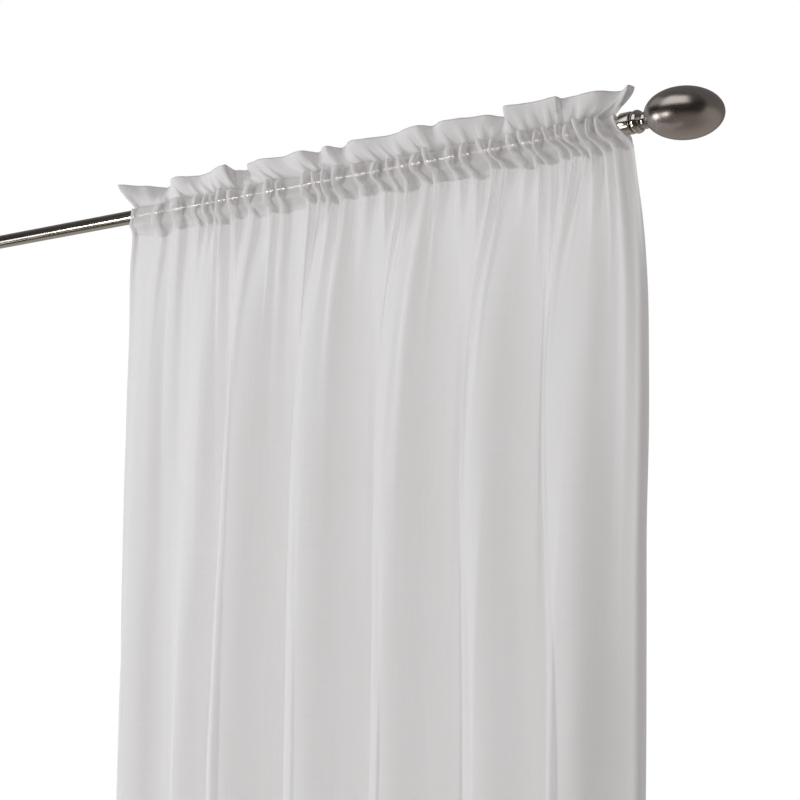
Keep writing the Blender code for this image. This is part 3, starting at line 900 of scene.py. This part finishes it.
def patch(box):
    """1 inside a box of the room and 0 outside, with edges eased over BOX_EDGE of its half size."""
    half = math.radians(box.half_around)
    return ((around - math.radians(box.around)).size().below(half, half * BOX_EDGE)
            * (height - box.height).size().below(box.half_height, box.half_height * BOX_EDGE))


level = height * 0.5 + 0.5
room = sky.node("ValToRGB", {"stops": ROOM}, Fac=level)
wall = sky.node("ValToRGB", {"stops": WALL}, Fac=level)
shell = sky.node("Mix", {"data_type": 'RGBA'}, output=2, n0=way_y.below(ROOM_EDGE, 0.3), n6=wall, n7=room)
glow = 0.0
for box in BOXES:
    glow = patch(box) * box.strength + glow
lamps = sky.node("Background", Color=LIT, Strength=glow)
glossy = sky.node("LightPath", output=3)
seen_by_camera = sky.node("LightPath", output=0)
surroundings = sky.node("Background", Color=shell, Strength=1.0)
mirrored = sky.node("AddShader", n0=surroundings, n1=lamps)
ambient = sky.node("Background", Color=(*WARM, 1.0), Strength=AMBIENT * (1 - FROM_LEFT * way_x))
white = sky.node("Background", Color=(1, 1, 1, 1), Strength=1.0)
unseen = sky.node("MixShader", n0=glossy, n1=ambient, n2=mirrored)
sky.node("OutputWorld", Surface=sky.node("MixShader", n0=seen_by_camera, n1=unseen, n2=white))
bpy.context.scene.view_settings.view_transform = 'Standard'
print("room of", len(ROOM), "bands in front and", len(WALL), "behind, with", len(BOXES), "lights")

# %% [markdown]
# ## Lights and floor
# The cloth needs soft light from the left and slightly below: it brightens the turned edge of each
# fold and leaves the flank behind it in shade. A large light behind the cloth makes it glow. None of
# these is mirrored. The rod's bright line comes from two strip lights that are only mirrored. The long
# one is strong enough to show twice through the voile, as the bright dashes in the pocket, and it would
# burn a hole into the satin knob. A photographer would hold it off the knob with a flag, and light
# linking does the same here: the strips are linked to the bright pieces, and the knob has one large
# soft light of its own.

# %% Lights and floor
def soft_light(name, place, towards, wide, high, power):
    """A rectangular area light that looks at a point and isn't mirrored in the metal."""
    data = bpy.data.lights.new(name, 'AREA')
    data.shape = 'RECTANGLE'
    data.size, data.size_y = wide, high
    data.energy = power
    data.color = COOL
    lamp = bpy.data.objects.new(name, data)
    bpy.context.scene.collection.objects.link(lamp)
    ahead = np.subtract(towards, place)
    lamp.location = place
    lamp.rotation_euler = (
        math.atan2(math.hypot(ahead[0], ahead[1]), -ahead[2]), 0.0,
        math.atan2(ahead[1], ahead[0]) - math.pi / 2)
    lamp.visible_glossy = False
    return lamp


soft_light("key", (-1.5, -1.6, -0.50), (0.0, 0.0, -0.40), 1.4, 0.9, 23.5)
soft_light("top", (-0.5, -0.6, 1.3), (-0.1, 0.0, 0.0), 1.4, 1.0, 4.0)
soft_light("fill", (1.8, -3.2, 0.2), (0.0, 0.0, -0.6), 2.4, 2.4, 1.5)
soft_light("rear", (-0.5, 3.0, 0.8), (0.0, 0.0, -0.6), 2.4, 2.4, 17.0)


def mirrored_in(lamp, pieces):
    """Let a light be seen only as a reflection, and only in these pieces."""
    shown = bpy.data.collections.new(lamp.name + "_pieces")
    for piece in pieces:
        shown.objects.link(piece)
    lamp.light_linking.receiver_collection = shown
    lamp.visible_glossy = True
    lamp.visible_diffuse = False
    lamp.visible_transmission = False
    lamp.data.color = LIT[:3]


mirrored_in(soft_light("long_strip", (-2.48, -3.01, -0.88), (0.0, 0.0, 0.0), 1.35, 0.8, 75.0),
            (rod, socket, neck))
mirrored_in(soft_light("side_strip", (-3.63, -2.32, -0.88), (-0.5, 0.0, 0.0), 1.2, 1.0, 5.5),
            (rod, cap))
mirrored_in(soft_light("knob_light", (-1.85, -0.91, 1.74), (0.42, 0.0, 0.0), 2.4, 1.5, 4.0),
            (knob,))

FLOOR_Z = HEM_END_Z - 12 * MM
FLOOR_HALF = 14.0
sides = np.array((-FLOOR_HALF, FLOOR_HALF))
floor = grid_piece("floor", np.tile(sides, (2, 1)), np.tile(sides[:, None], 2), np.full((2, 2), FLOOR_Z))
floor_finish, tree = new_material("pale_floor")
matt = tree.node("BsdfPrincipled", Base_Color=(0.82, 0.81, 0.79, 1), Roughness=0.8)
tree.node("OutputMaterial", Surface=matt)
floor.data.materials.append(floor_finish)
floor.visible_glossy = False
print("floor at", round(FLOOR_Z, 3))

# %% [markdown]
# ## What each piece stands for
# The pieces take the place of the CAD solids and ride with the part's one body.

# %% Pieces and the frame
for piece, node, slot in (
    (curtain, "curtain", "voile"), (rod, "rod_tube", "polished_nickel"),
    (cap, "end_cap", "polished_nickel"), (socket, "finial_socket", "polished_nickel"),
    (neck, "finial_neck", "polished_nickel"), (knob, "finial_knob", "satin_nickel"),
):
    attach(piece, "root")
    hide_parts(node)

# %% [markdown]
